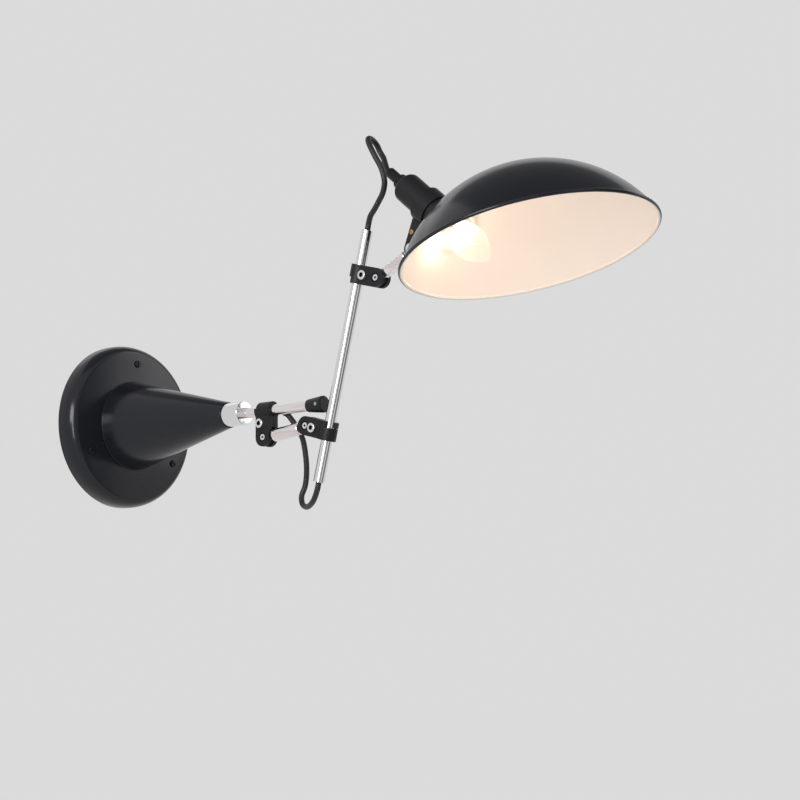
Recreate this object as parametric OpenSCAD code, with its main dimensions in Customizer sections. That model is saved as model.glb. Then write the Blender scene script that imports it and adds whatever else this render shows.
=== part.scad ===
// Swing arm wall lamp: a fixed arm on a wall cone, a strut and a long rod held by
// two-part clamps, and a dished shade on a tilting lampholder.
// The wall is the plane y = 0, the arm points along -y, and z is up.

/* [Wall flange] */
// Radius of the round wall flange
flange_r = 93; // [80:1:110]
// How far the flange stands off the wall
flange_t = 23; // [20:0.5:30]
// How far the flange's rounded edge reaches in from its side
flange_edge_r = 9; // [4:0.5:10]
// How far the rounded edge reaches back from the flange's face
flange_edge_depth = 17; // [8:0.5:18]
// Sheet thickness of the flange
flange_wall = 2.5; // [1.5:0.5:4]
// Radius of the circle that the flange screws are on
flange_screw_ring_r = 72; // [60:1:76]
// Turn of the flange screws from the vertical
flange_screw_turn = -3; // [-30:1:30]
// Shank radius of a flange screw
flange_screw_r = 2; // [1.5:0.25:2.5]
// Head radius of a flange screw
flange_screw_head_r = 4; // [3.5:0.25:5]
// Thickness of the plate behind the flange
plate_t = 3; // [2:0.5:5]
// Radius of the plate behind the flange
plate_r = 82; // [80:1:85]
// Radius of the circle that the wall screws are on
wall_screw_ring_r = 50; // [42:1:58]
// Radius of a wall screw's hole
wall_screw_r = 2.75; // [2:0.25:3.5]
// Number of wall screws
wall_screws = 4; // [3:1:6]
// Radius of the cable's way through the plate
cable_hole_r = 12; // [8:1:16]

/* [Wall cone] */
// Radius of the cone where it meets the flange
cone_base_r = 51; // [44:1:60]
// Radius of the cone's tip
cone_tip_r = 14.2; // [14:0.2:18]
// Length of the cone from flange to tip
cone_len = 152; // [120:1:180]
// Height of the straight rim round the cone's base
cone_rim_h = 1.5; // [1:0.5:3]
// Wall of the hollow cone
cone_wall = 2; // [1.5:0.5:3]
// Radius of the threaded spigot under the cone
spigot_r = 30; // [24:1:36]
// Radius of the chrome collar
collar_r = 13; // [12:0.1:13.2]
// How far the collar stands out of the cone
collar_out = 24; // [16:1:32]

/* [Arm tubes] */
// Outer radius of the arm, the rod and the head arm
tube_r = 6; // [5:0.25:7]
// Wall of every tube
tube_wall = 1.5; // [1:0.25:2]
// How far the arm reaches from the wall
arm_reach = 313; // [290:1:330]
// Distance of the arm clamp from the end of the arm tube
arm_clamp_back = 81; // [70:1:100]
// Outer radius of the strut, which is thicker than the other tubes
strut_r = 7; // [6:0.25:8]
// Distance between the strut's two pivots
strut_len = 62; // [58:0.5:66]
// Rise of the strut at rest
strut_rise = 7; // [4:0.5:8]
// Lean of the rod from the vertical at rest
rod_lean = 15; // [10:0.5:20]
// Length of the rod
rod_len = 268; // [250:1:300]
// Length of rod below the rod clamp
rod_below = 54.5; // [46:0.5:70]
// Height of the head clamp above the rod clamp, along the rod
head_clamp_up = 166.5; // [140:0.5:180]
// Distance between the head arm's two pivots
head_arm_len = 53.5; // [48:0.5:70]
// Rise of the head arm at rest
head_arm_rise = 26.5; // [20:0.5:30]
// Radius of the cord
cord_r = 3; // [2.5:0.25:3.25]

/* [Clamps] */
// Distance from a clamp's tube to its pivot
clamp_reach = 29; // [26:0.5:34]
// Half of a clamp's width
clamp_half_w = 10; // [9:0.5:12]
// Half of a clamp's thickness at its pivot
clamp_half_t = 7; // [6:0.25:8]
// Radius of the clamp's round bulge over the tube
bulge_r = 9.5; // [9:0.25:11]
// Thickness of a tube's flat eye
eye_t = 5; // [4:0.25:6]
// Radius of a tube's flat eye
eye_r = 7; // [6:0.25:8]
// Shank radius of the big clamp screw
clamp_screw_r = 3; // [2.5:0.25:3]
// Head radius of the big clamp screw
clamp_head_r = 5; // [4.5:0.25:5.5]
// Height of the big clamp screw's head
clamp_head_h = 6; // [4:0.5:7]
// Shank radius of a pivot screw
pivot_r = 2.5; // [2:0.25:3]
// Head radius of a pivot screw
pivot_head_r = 3.3; // [3.2:0.1:4]
// Radius of the dark recess round a pivot screw's head
recess_r = 4.8; // [4.5:0.1:5.5]
// Depth of that recess
recess_depth = 2.2; // [1.5:0.1:2.4]

/* [Shade] */
// Radius of the shade's rim
shade_r = 129; // [110:1:150]
// Depth of the shade from its rim to its crown
shade_depth = 80; // [65:1:90]
// Sheet thickness of the shade
shade_wall = 1.2; // [0.8:0.2:2]
// Radius of the rolled bead on the shade's rim
bead_r = 2; // [1.5:0.25:3]
// Tilt of the shade's opening away from the wall at rest
shade_tilt = 14.5; // [10:0.5:18]
// Angle from the shade's crown to the lampholder
holder_off_crown = 35; // [30:0.5:40]

/* [Lampholder] */
// Radius of the lampholder's wide part
holder_r = 17.5; // [17:0.25:19]
// Radius of the lampholder's rear cap
holder_cap_r = 15.7; // [15:0.1:16.5]
// Length of the wide part outside the shade
holder_len = 50; // [50:1:62]
// Length of the rear cap
holder_cap_len = 35; // [30:1:42]
// Wall of the lampholder
holder_wall = 2; // [1.5:0.25:2.5]
// Radius of the shade's neck thread
neck_r = 16; // [15.5:0.25:16.5]
// Length of the gland outside the cap
gland_len = 26; // [20:1:30]
// Distance from the head's pivot to the lampholder's axis
bracket_reach = 44; // [40:1:50]
// Height of the head's pivot above the shade's dome, along the lampholder
pivot_rise = 30; // [26:1:36]
// Radius of the bulb at its widest
bulb_r = 17.5; // [15:0.5:18]
// Length of the bulb's glass
bulb_glass_len = 74; // [64:1:80]

/* [Clearances] */
// Radial gap of a part that turns or slides on another
run_gap = 0.05; // [0.02:0.01:0.1]
// Gap of a screw in its thread and of parts that are fixed together
fit_gap = 0.02; // [0.01:0.01:0.05]
// Gap between flat sides that move past each other
side_gap = 0.2; // [0.1:0.05:0.3]
// Gap between the two jaws of a clamp
jaw_gap = 0.5; // [0.3:0.1:0.8]

/* [Hidden] */
$fn = 64;
big = 60;
overlap = 0.5;

// Flat directions in the plane x = 0, as [out from the wall, up]
rod_dir = [sin(rod_lean), cos(rod_lean)];
across_rod = [cos(rod_lean), -sin(rod_lean)];

// Joint places in the plane x = 0, as [out from the wall, up]
arm_clamp_at = arm_reach - arm_clamp_back;
strut_inner = [arm_clamp_at, -clamp_reach];
strut_outer = strut_inner + strut_len * [cos(strut_rise), sin(strut_rise)];
rod_clamp_at = strut_outer + clamp_reach * across_rod;
rod_bottom = rod_clamp_at - rod_below * rod_dir;
head_clamp_at = rod_clamp_at + head_clamp_up * rod_dir;
head_arm_inner = head_clamp_at + clamp_reach * across_rod;
head_pivot = head_arm_inner + head_arm_len * [cos(head_arm_rise), sin(head_arm_rise)];

// Wall end
cone_tip_at = flange_t + cone_len;
nose_len = 15;
nose_at = cone_tip_at - nose_len;
nose_bore = 6;
cone_floor = 3;
cone_rim_step = 0.6;
lock_ring_t = 5;
collar_spigot_r = cone_tip_r - 3.2;
collar_from = cone_tip_at - nose_bore;
collar_front = cone_tip_at + collar_out;
collar_nut_t = 8;
set_screw_r = 1.5;
set_screw_at = collar_front - 9;
groove_depth = 0.8;
post_r = 5;
tube_in_r = tube_r - tube_wall;
arm_from = nose_at - collar_nut_t - 12;
terminal_at = 54;
terminal_size = [30, 14, 14];
base_cord_end = 60;

// Arm end cap
cap_from = arm_reach - 19;
cap_reach = arm_reach + 3.5;
cap_front_r = tube_r + 3;
cap_rear_r = tube_r + 0.9;
cap_screw_r = 1.75;
cap_screw_at = arm_reach - 2;

// Clamps
jaw_side = jaw_gap / 2;
eye_side = eye_t / 2 + side_gap;
block_at = clamp_reach - eye_r - 3.5;
finger_low = -0.35 * clamp_half_w;
arm_finger_low = -0.75 * clamp_half_w;
finger_over = bulge_r * 0.6;
rear_finger_over = 0;
finger_split = 2;
clamp_screw_at = clamp_reach / 2;
clamp_nut_t = 5;

// Eyes at the ends of the strut and of the head arm
eye_collar_at = clamp_half_w + 1.5;
eye_collar_t = 2.5;
eye_neck = 2 * eye_r - 4;
eye_plug = 8;
tube_from = eye_collar_at + eye_collar_t;

// Shade and lampholder: heights run along the lampholder from the centre of the shade's sphere
dish_r = (pow(shade_r, 2) + pow(shade_depth, 2)) / (2 * shade_depth);
rim_up = dish_r - shade_depth;
holder_lean = -(shade_tilt + holder_off_crown);
holder_dir = [sin(holder_lean), cos(holder_lean)];
holder_side = [-cos(holder_lean), sin(holder_lean)];
pivot_up = dish_r + pivot_rise;
dish_centre = head_pivot - pivot_up * holder_dir - bracket_reach * holder_side;
neck_hole_r = neck_r + 0.1;
seat_up = sqrt(pow(dish_r, 2) - pow(neck_hole_r, 2)) + fit_gap;
shade_ring_r = neck_r + 5;
shade_ring_top = sqrt(pow(dish_r - shade_wall, 2) - pow(shade_ring_r, 2)) - fit_gap;
shade_ring_t = 5;
neck_end = shade_ring_top - shade_ring_t - 1;
holder_top = dish_r + holder_len;
cap_top = holder_top + holder_cap_len;
cap_edge_r = 7;
cap_spigot = 4;
gland_r = 8.2;
gland_ring_t = 8;
gland_flutes = 12;
flute_r = 0.9;
nose_r = 5.6;
gland_top = cap_top + gland_len;
glass_up = dish_r + 16;
bulb_cap_r = 7;
bulb_cap_len = 24;
bulb_contact_t = 3;
glass_wall = 0.8;
contact_r = bulb_cap_r + 1;
insert_r = holder_r - holder_wall - fit_gap;
insert_from = glass_up - 8;
insert_to = holder_top - cap_spigot - 0.5;
strap_t = 1.8;
strap_from = pivot_up;
strap_to = pivot_up + 18;
fork_r = 8.5;
fork_web = bracket_reach - eye_r - 3;
head_nut_t = 4;
bracket_screw_r = 1.5;
bracket_screw_place = [0, fork_web - 4, pivot_up + 9];

// Routes of the cord, as points [x, out from the wall, up]
cord_sides = 10;
cord_lead = 15;
cord_straight = 8;
top_straight = 4;
loop_side = [0.64, -0.77, 0];
rod_low_end = [0, rod_bottom[0], rod_bottom[1]];
rod_up = [0, rod_dir[0], rod_dir[1]];
gland_up = [0, holder_dir[0], holder_dir[1]];
gland_end = [0, dish_centre[0], dish_centre[1]] + gland_top * gland_up;
base_route = [
    [0, 10, terminal_size[1] / 2 - terminal_at], [0, 10, -36], [0, 12, -24], [0, 18, -12],
    [0, 27, -4], [0, 38, 0], [0, base_cord_end - side_gap, 0]
];
// Out of the arm's slot at its eighth point, round the strut and into the rod's lower end
lower_route = [
    [0, base_cord_end, 0], [0, 110, 0], [0, 170, 0], [0, 230, 0], [0, 238, 0],
    [0.6, 244, -0.6], [2.4, 251, -2.4], [5.5, 257, -5.5],
    [9, 261, -12], [13, 265, -20], [18, 268, -32], [22, 268, -46], [25, 267, -60],
    [28, 264, -72], [29, 261, -82], [27, 258, -92], [24, 262, -101], [18, 273, -105],
    [11, 285, -104], [4, 297, -99], rod_low_end - cord_straight * rod_up,
    rod_low_end - side_gap * rod_up, rod_low_end + cord_lead * rod_up
];
slot_point = 7;
// Out of the rod's upper end, over the top and into the gland
upper_route = [
    rod_low_end + (rod_len - cord_lead) * rod_up, rod_low_end + rod_len * rod_up,
    rod_low_end + (rod_len + top_straight) * rod_up,
    [-1, 380, 186], [-4, 385, 191], [-8, 394, 196], [-12, 403, 202], [-15, 411, 209],
    [-18, 416, 218], [-20, 416, 227], [-21, 413, 236], [-22, 408, 245], [-23, 404, 253],
    [-22, 399, 261], [-19, 395, 267], [-13, 392, 270], [-6, 391, 269], [0, 391, 265],
    [3, 392, 259], [4, 396, 252], [2, 400, 245],
    gland_end + top_straight * gland_up, gland_end + side_gap * gland_up,
    gland_end - cord_lead * gland_up
];

// Frames: each puts its children at a place on the lamp

// Along the arm: z runs out from the wall and y runs up
module along_arm() {
    rotate([90, 0, 0]) children();
}

// At a place in the plane x = 0, with z leaning out from the vertical
module in_plane(place, lean) {
    translate([0, -place[0], place[1]]) rotate([lean, 0, 0]) children();
}

// On the arm clamp, the rod clamp and the head clamp: z along the tube, -y to the pivot
module on_arm_clamp() {
    in_plane([arm_clamp_at, 0], 90) children();
}

module on_rod_clamp() {
    in_plane(rod_clamp_at, rod_lean + 180) children();
}

module on_head_clamp() {
    in_plane(head_clamp_at, rod_lean) children();
}

// From the centre of the shade's sphere, along the lampholder or along the shade's axis
module on_holder() {
    in_plane(dish_centre, holder_lean) children();
}

module on_shade() {
    in_plane(dish_centre, -shade_tilt) children();
}

// Shapes that repeat

// A cylinder of radius r and height h with its upper edge rounded by radius e
module rounded_can(r, h, e) {
    rotate_extrude() intersection() {
        square([r, h]);
        union() {
            square([r - e, h]);
            square([r, h - e]);
            translate([r - e, h - e]) circle(r = e);
        }
    }
}

// The same with an edge that is edge_in wide and edge_down deep, a quarter of an ellipse
module domed_can(r, h, edge_in, edge_down) {
    steps = 12;
    rotate_extrude() polygon(concat(
        [[0, h]],
        [for (i = [0 : steps]) let (a = 90 * i / steps)
            [r - edge_in + edge_in * sin(a), h - edge_down + edge_down * cos(a)]],
        [[r, 0], [0, 0]]
    ));
}

module tube(outer, inner, from, to) {
    difference() {
        translate([0, 0, from]) cylinder(r = outer, h = to - from);
        translate([0, 0, from - overlap]) cylinder(r = inner, h = to - from + 2 * overlap);
    }
}

// A cylinder along x
module bar_x(r, from, to) {
    translate([from, 0, 0]) rotate([0, 90, 0]) cylinder(r = r, h = to - from);
}

// A hexagonal socket in a screw's head, along x
module hex_x(r, from, to) {
    translate([from, 0, 0]) rotate([0, 90, 0]) cylinder(r = r, h = to - from, $fn = 6);
}

// Cord swept along a route, with a square ring at each of its points
function unit(v) = v / norm(v);
function place(p) = [p[0], -p[1], p[2]];
function heading(p, i) = unit(place(p[min(i + 1, len(p) - 1)]) - place(p[max(i - 1, 0)]));
function cord_ring(p, i, side) =
    let (t = heading(p, i), a = unit(cross(t, side)), b = cross(t, a))
    [for (k = [0 : cord_sides - 1])
        place(p[i]) + cord_r * (cos(360 * k / cord_sides) * a + sin(360 * k / cord_sides) * b)];

// The stretch of cord from one point of the route to another, by number
module cord_run(route, from, to, side) {
    n = cord_sides;
    last = n * (to - from);
    walls = [for (i = [0 : to - from - 1], k = [0 : n - 1])
        let (a = i * n + k, b = i * n + (k + 1) % n)
        each [[a, b, b + n], [a, b + n, a + n]]];
    near_end = [for (k = [1 : n - 2]) [0, k + 1, k]];
    far_end = [for (k = [1 : n - 2]) [last, last + k, last + k + 1]];
    polyhedron(
        points = [for (i = [from : to]) each cord_ring(route, i, side)],
        faces = concat(walls, near_end, far_end)
    );
}

// Wall end

module wall_plate() {
    color("silver") along_arm() difference() {
        union() {
            cylinder(r = plate_r, h = plate_t);
            at_flange_screws() translate([0, 0, plate_t - overlap])
                cylinder(r = post_r, h = flange_t - flange_wall - plate_t + overlap);
        }
        translate([0, 0, -overlap]) cylinder(r = cable_hole_r, h = plate_t + 2 * overlap);
        at_flange_screws() translate([0, 0, plate_t])
            cylinder(r = flange_screw_r + fit_gap, h = flange_t);
        for (i = [0 : wall_screws - 1])
            rotate([0, 0, 45 + 360 * i / wall_screws]) translate([wall_screw_ring_r, 0, -overlap])
                cylinder(r = wall_screw_r, h = plate_t + 2 * overlap);
    }
}

module at_flange_screws() {
    for (i = [0 : 2])
        rotate([0, 0, 90 + flange_screw_turn + 120 * i]) translate([flange_screw_ring_r, 0, 0])
            children();
}

module flange() {
    color("#1c1c1e") along_arm() difference() {
        domed_can(flange_r, flange_t, flange_edge_r, flange_edge_depth);
        translate([0, 0, -overlap])
            domed_can(flange_r - flange_wall, flange_t - flange_wall + overlap,
                      flange_edge_r - flange_wall, flange_edge_depth - flange_wall);
        translate([0, 0, flange_t / 2]) cylinder(r = spigot_r + fit_gap, h = flange_t);
        at_flange_screws() translate([0, 0, flange_t / 2])
            cylinder(r = flange_screw_r + fit_gap, h = flange_t);
    }
}

module flange_screws() {
    head_h = 1.8;
    shank = flange_t - 6;
    slot_w = 1;
    slot_depth = 1;
    color("#2a2a2c") along_arm() at_flange_screws() translate([0, 0, flange_t]) difference() {
        union() {
            rounded_can(flange_screw_head_r, head_h, 0.8);
            translate([0, 0, -shank]) cylinder(r = flange_screw_r, h = shank + overlap);
        }
        translate([-big / 2, -slot_w / 2, head_h - slot_depth]) cube([big, slot_w, head_h]);
    }
}

module cone() {
    foot_r = cone_base_r - cone_rim_step;
    slope = (foot_r - cone_tip_r) / (cone_len - cone_rim_h);
    hollow_from = flange_t + cone_floor;
    hollow_r = foot_r - slope * (cone_floor - cone_rim_h) - cone_wall;
    hollow_end_r = cone_tip_r + slope * nose_len - cone_wall;
    spigot_bore_r = spigot_r - 4;
    color("#1c1c1e") along_arm() difference() {
        union() {
            translate([0, 0, flange_t]) cylinder(r = cone_base_r, h = cone_rim_h);
            translate([0, 0, flange_t + cone_rim_h])
                cylinder(r1 = foot_r, r2 = cone_tip_r, h = cone_len - cone_rim_h);
            translate([0, 0, flange_t - flange_wall - lock_ring_t])
                cylinder(r = spigot_r, h = flange_wall + lock_ring_t + overlap);
        }
        translate([0, 0, hollow_from])
            cylinder(r1 = hollow_r, r2 = hollow_end_r, h = nose_at - hollow_from);
        translate([0, 0, flange_t - big]) cylinder(r = spigot_bore_r, h = big + cone_floor + overlap);
        translate([0, 0, nose_at - overlap]) cylinder(r = collar_spigot_r + fit_gap, h = nose_len);
        translate([0, 0, collar_from - fit_gap]) cylinder(r = collar_r + fit_gap, h = nose_len);
    }
}

module cone_lock_ring() {
    ring_r = spigot_r + 8;
    notches = 6;
    notch_r = 2.5;
    color("silver") along_arm() difference() {
        tube(ring_r, spigot_r + fit_gap, flange_t - flange_wall - lock_ring_t,
             flange_t - flange_wall);
        for (i = [0 : notches - 1])
            rotate([0, 0, 360 * i / notches]) translate([ring_r, 0, 0])
                cylinder(r = notch_r, h = flange_t);
    }
}

module at_set_screw() {
    translate([0, 0, set_screw_at]) rotate([0, 0, 45]) children();
}

module collar() {
    edge = 0.8;
    past_nut = 2;
    spigot_from = nose_at - collar_nut_t - past_nut;
    color("gainsboro") along_arm() difference() {
        union() {
            translate([0, 0, collar_from]) rounded_can(collar_r, collar_front - collar_from, edge);
            translate([0, 0, spigot_from])
                cylinder(r = collar_spigot_r, h = collar_from - spigot_from + overlap);
        }
        translate([0, 0, nose_at - big]) cylinder(r = tube_r + run_gap, h = 4 * big);
        at_set_screw() bar_x(set_screw_r + fit_gap, 0, big);
    }
}

module collar_nut() {
    corner_r = collar_spigot_r + 4;
    color("silver") along_arm() translate([0, 0, nose_at - collar_nut_t]) difference() {
        cylinder(r = corner_r, h = collar_nut_t, $fn = 6);
        translate([0, 0, -overlap])
            cylinder(r = collar_spigot_r + fit_gap, h = collar_nut_t + 2 * overlap);
    }
}

module collar_set_screw() {
    top = collar_r - 0.4;
    socket_r = 0.8;
    socket_depth = 1.6;
    color("silver") along_arm() at_set_screw() difference() {
        bar_x(set_screw_r, tube_r - groove_depth + run_gap, top);
        hex_x(socket_r, top - socket_depth, collar_r);
    }
}

module terminal_block() {
    entry_r = 1.6;
    entry_depth = 2;
    pitch = 9;
    color("ivory") translate([0, -plate_t, -terminal_at]) difference() {
        translate([-terminal_size[0] / 2, -terminal_size[2], -terminal_size[1] / 2])
            cube([terminal_size[0], terminal_size[2], terminal_size[1]]);
        for (x = [-pitch, 0, pitch])
            translate([x, entry_depth - terminal_size[2], 0]) rotate([90, 0, 0])
                cylinder(r = entry_r, h = big);
    }
}

module cord_in_base() {
    color("#101010") cord_run(base_route, 0, len(base_route) - 1, [1, 0, 0]);
}

// Arm

module arm_tube() {
    color("gainsboro") along_arm() difference() {
        tube(tube_r, tube_in_r, arm_from, arm_reach);
        translate([0, 0, set_screw_at])
            tube(tube_r + 1, tube_r - groove_depth, -set_screw_r - 0.1, set_screw_r + 0.1);
        cord_slot();
    }
}

// The slot on the arm's lower far side where the cord comes out
module cord_slot() {
    slot_r = cord_r + 0.8;
    slot_from = arm_clamp_at + clamp_half_w + 5;
    slot_to = slot_from + 11;
    rotate([0, 0, -45]) {
        translate([0, 0, slot_from]) bar_x(slot_r, 0, big);
        translate([0, 0, slot_to]) bar_x(slot_r, 0, big);
        translate([0, -slot_r, slot_from]) cube([big, 2 * slot_r, slot_to - slot_from]);
    }
}

module arm_end_cap() {
    edge = 1.5;
    flat = 3;
    color("#1c1c1e") along_arm() difference() {
        rotate_extrude() polygon([
            [0, cap_from], [cap_rear_r, cap_from], [cap_front_r, cap_reach - flat],
            [cap_front_r, cap_reach - edge], [cap_front_r - edge, cap_reach], [0, cap_reach]
        ]);
        translate([0, 0, cap_from - overlap])
            cylinder(r = tube_r + fit_gap, h = arm_reach - cap_from + overlap + fit_gap);
        translate([0, 0, cap_screw_at]) bar_x(cap_screw_r + fit_gap, -big, 0);
    }
}

module arm_end_screw() {
    proud = 0.5;
    socket_r = 0.9;
    color("silver") along_arm() translate([0, 0, cap_screw_at]) difference() {
        bar_x(cap_screw_r, -cap_front_r - proud, -tube_r - 2 * fit_gap);
        hex_x(socket_r, -big, proud - cap_front_r);
    }
}

module cord_in_arm() {
    color("#101010") cord_run(lower_route, 0, slot_point, loop_side);
}

module cord_lower_loop() {
    color("#101010") cord_run(lower_route, slot_point, len(lower_route) - 2, loop_side);
}

// Clamps, in a frame with z along the tube, x across the jaws and the pivot at -y

// The finger of a jaw, from x_from to x_to and up from y_from: a wide one at the front and a
// narrow one beside it at the rear, with their joint at z = split
module finger(outer, split, x_from, x_to, y_from) {
    low = outer ? -clamp_half_w : split;
    high = outer ? split - jaw_gap : clamp_half_w;
    translate([x_from, y_from, low]) cube([x_to - x_from, big, high - low]);
}

// One cast jaw on the side of -x: a round-ended cheek, a block that takes the clamp screw,
// and a half bulge over the tube whose finger reaches over to the other side
module jaw(outer, split, bore_gap) {
    difference() {
        union() {
            intersection() {
                cylinder(r = bulge_r, h = 2 * clamp_half_w, center = true);
                union() {
                    translate([-big, -big, -clamp_half_w])
                        cube([big - jaw_side, big + finger_split, 2 * clamp_half_w]);
                    finger(outer, split, -big, -jaw_side, 0);
                    finger(outer, split, -big, outer ? rear_finger_over : finger_over,
                           finger_split + jaw_gap);
                }
            }
            translate([-clamp_half_t, -block_at, -clamp_half_w])
                cube([clamp_half_t - jaw_side, block_at - tube_r / 2, 2 * clamp_half_w]);
            translate([-clamp_half_t, -clamp_reach, -clamp_half_w])
                cube([clamp_half_t - eye_side, clamp_reach - tube_r, 2 * clamp_half_w]);
            translate([0, -clamp_reach, 0]) bar_x(clamp_half_w, -clamp_half_t, -eye_side);
        }
        cylinder(r = tube_r + bore_gap, h = big, center = true);
        translate([0, -clamp_screw_at, 0]) bar_x(clamp_screw_r + fit_gap, -big, big);
        translate([0, -clamp_reach, 0]) bar_x(pivot_r + fit_gap, -big, big);
        if (!outer)
            translate([0, -clamp_reach, 0]) bar_x(recess_r, -big, recess_depth - clamp_half_t);
    }
}

module clamp_front(split, bore_gap) {
    color("#1c1c1e") jaw(false, split, bore_gap);
}

module clamp_rear(split, bore_gap) {
    color("#1c1c1e") mirror([1, 0, 0]) jaw(true, split, bore_gap);
}

module clamp_screw() {
    edge = 0.6;
    past_nut = 1;
    socket_r = clamp_screw_r * 0.95;
    color("gainsboro") translate([0, -clamp_screw_at, 0]) difference() {
        union() {
            translate([-clamp_half_t, 0, 0]) rotate([0, -90, 0])
                rounded_can(clamp_head_r, clamp_head_h, edge);
            bar_x(clamp_screw_r, -clamp_half_t - overlap, clamp_half_t + clamp_nut_t + past_nut);
        }
        hex_x(socket_r, -big, clamp_head_h / 2 - clamp_half_t - clamp_head_h);
    }
}

module clamp_nut() {
    corner_r = clamp_head_r + 0.8;
    color("silver") translate([0, -clamp_screw_at, 0]) difference() {
        hex_x(corner_r, clamp_half_t, clamp_half_t + clamp_nut_t);
        bar_x(clamp_screw_r + fit_gap, 0, big);
    }
}

module pivot_screw() {
    color("gainsboro") translate([0, -clamp_reach, 0]) difference() {
        union() {
            bar_x(pivot_head_r, side_gap - clamp_half_t, recess_depth - clamp_half_t);
            bar_x(pivot_r, recess_depth - clamp_half_t - overlap, clamp_half_t - side_gap);
        }
        hex_x(pivot_r * 0.6, -big, recess_depth / 2 - clamp_half_t);
    }
}

// A flat eye with its bore at the origin, a domed collar and a plug that fills the tube's end
module eye(outer_r, inner_r) {
    difference() {
        union() {
            bar_x(eye_r, -eye_t / 2, eye_t / 2);
            translate([-eye_t / 2, -eye_neck / 2, 0])
                cube([eye_t, eye_neck, eye_collar_at + overlap]);
            translate([0, 0, tube_from]) mirror([0, 0, 1])
                rounded_can(outer_r, eye_collar_t, eye_collar_t - 0.5);
            translate([0, 0, tube_from - overlap])
                cylinder(r = inner_r - fit_gap, h = eye_plug + overlap);
        }
        bar_x(pivot_r + run_gap, -big, big);
    }
}

// Two eyes that face each other, length apart
module eye_pair(outer_r, inner_r, length) {
    color("gainsboro") {
        eye(outer_r, inner_r);
        translate([0, 0, length]) mirror([0, 0, 1]) eye(outer_r, inner_r);
    }
}

// Strut

module along_strut() {
    in_plane(strut_inner, 90 - strut_rise) children();
}

module strut_tube() {
    color("gainsboro") along_strut()
        tube(strut_r, strut_r - tube_wall, tube_from, strut_len - tube_from);
}

module strut_eyes() {
    along_strut() eye_pair(strut_r, strut_r - tube_wall, strut_len);
}

// Rod

module along_rod() {
    in_plane(rod_bottom, rod_lean) children();
}

module rod_tube() {
    color("gainsboro") along_rod() tube(tube_r, tube_in_r, 0, rod_len);
}

// A cord bush sits in each end of the rod, with its lip inside the mouth
module rod_bushes() {
    bush_len = 8;
    color("#101010") along_rod() {
        tube(tube_in_r - fit_gap, cord_r + fit_gap, 0, bush_len);
        tube(tube_in_r - fit_gap, cord_r + fit_gap, rod_len - bush_len, rod_len);
    }
}

module cord_in_rod() {
    color("#101010") along_rod() translate([0, 0, fit_gap])
        cylinder(r = cord_r, h = rod_len - 2 * fit_gap);
}

module cord_upper_loop() {
    color("#101010") cord_run(upper_route, 1, len(upper_route) - 2, loop_side);
}

// Head arm

module along_head_arm() {
    in_plane(head_arm_inner, 90 - head_arm_rise) children();
}

module head_arm_tube() {
    color("gainsboro") along_head_arm()
        tube(tube_r, tube_in_r, tube_from, head_arm_len - tube_from);
}

module head_arm_eyes() {
    along_head_arm() eye_pair(tube_r, tube_in_r, head_arm_len);
}

// Head, in the lampholder's frame with the head's pivot at +y

// The point where a line from q touches the circle of radius r round c, on the given side
function touch(q, c, r, side) =
    let (d = c - q, l = norm(d), a = atan2(d[1], d[0]) + side * asin(r / l), k = sqrt(l * l - r * r))
    q + k * [cos(a), sin(a)];

// One cheek of the fork, in the plane of y and z
module cheek() {
    pivot = [bracket_reach, pivot_up];
    low = [holder_r, strap_from];
    high = [holder_r, strap_to];
    polygon([low, touch(low, pivot, fork_r, -1), pivot, touch(high, pivot, fork_r, 1), high]);
    translate(pivot) circle(r = fork_r);
}

// Lays a shape drawn in y and z across x, from x = from to x = to
module across_x(from, to) {
    translate([from, 0, 0]) rotate([90, 0, 90]) linear_extrude(to - from) children();
}

module head_bracket() {
    color("#1c1c1e") on_holder() difference() {
        union() {
            tube(holder_r + strap_t, holder_r + fit_gap, strap_from, strap_to);
            across_x(-clamp_half_t, clamp_half_t) cheek();
        }
        translate([0, 0, strap_from - big]) cylinder(r = holder_r + fit_gap, h = 3 * big);
        translate([-eye_side, fork_web, pivot_up - big]) cube([2 * eye_side, big, 2 * big]);
        translate([0, bracket_reach, pivot_up]) bar_x(pivot_r + fit_gap, -big, big);
        at_bracket_screw() bar_x(bracket_screw_r + fit_gap, -big, 0);
    }
}

module at_bracket_screw() {
    translate(bracket_screw_place) children();
}

module bracket_screw() {
    head_h = 1.4;
    head_r = 2 * bracket_screw_r - 0.3;
    slot_w = 0.8;
    slot_depth = 0.7;
    color("#8a6a3c") on_holder() at_bracket_screw() difference() {
        union() {
            bar_x(bracket_screw_r, -clamp_half_t - overlap, -fit_gap);
            translate([-clamp_half_t, 0, 0]) rotate([0, -90, 0]) rounded_can(head_r, head_h, 0.6);
        }
        translate([-clamp_half_t - 2 * head_h, -slot_w / 2, -big / 2])
            cube([head_h + slot_depth, slot_w, big]);
    }
}

module head_pivot_screw() {
    head_h = 2.5;
    edge = 0.8;
    socket_depth = 1;
    color("gainsboro") on_holder() translate([0, bracket_reach, pivot_up]) difference() {
        union() {
            translate([-clamp_half_t, 0, 0]) rotate([0, -90, 0]) rounded_can(2 * pivot_r, head_h, edge);
            bar_x(pivot_r, -clamp_half_t - overlap, clamp_half_t + head_nut_t + 1);
        }
        hex_x(pivot_r * 0.7, -big, socket_depth - clamp_half_t - head_h);
    }
}

module head_pivot_nut() {
    color("silver") on_holder() translate([0, bracket_reach, pivot_up]) difference() {
        hex_x(2 * pivot_r, clamp_half_t, clamp_half_t + head_nut_t);
        bar_x(pivot_r + fit_gap, 0, big);
    }
}

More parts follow.
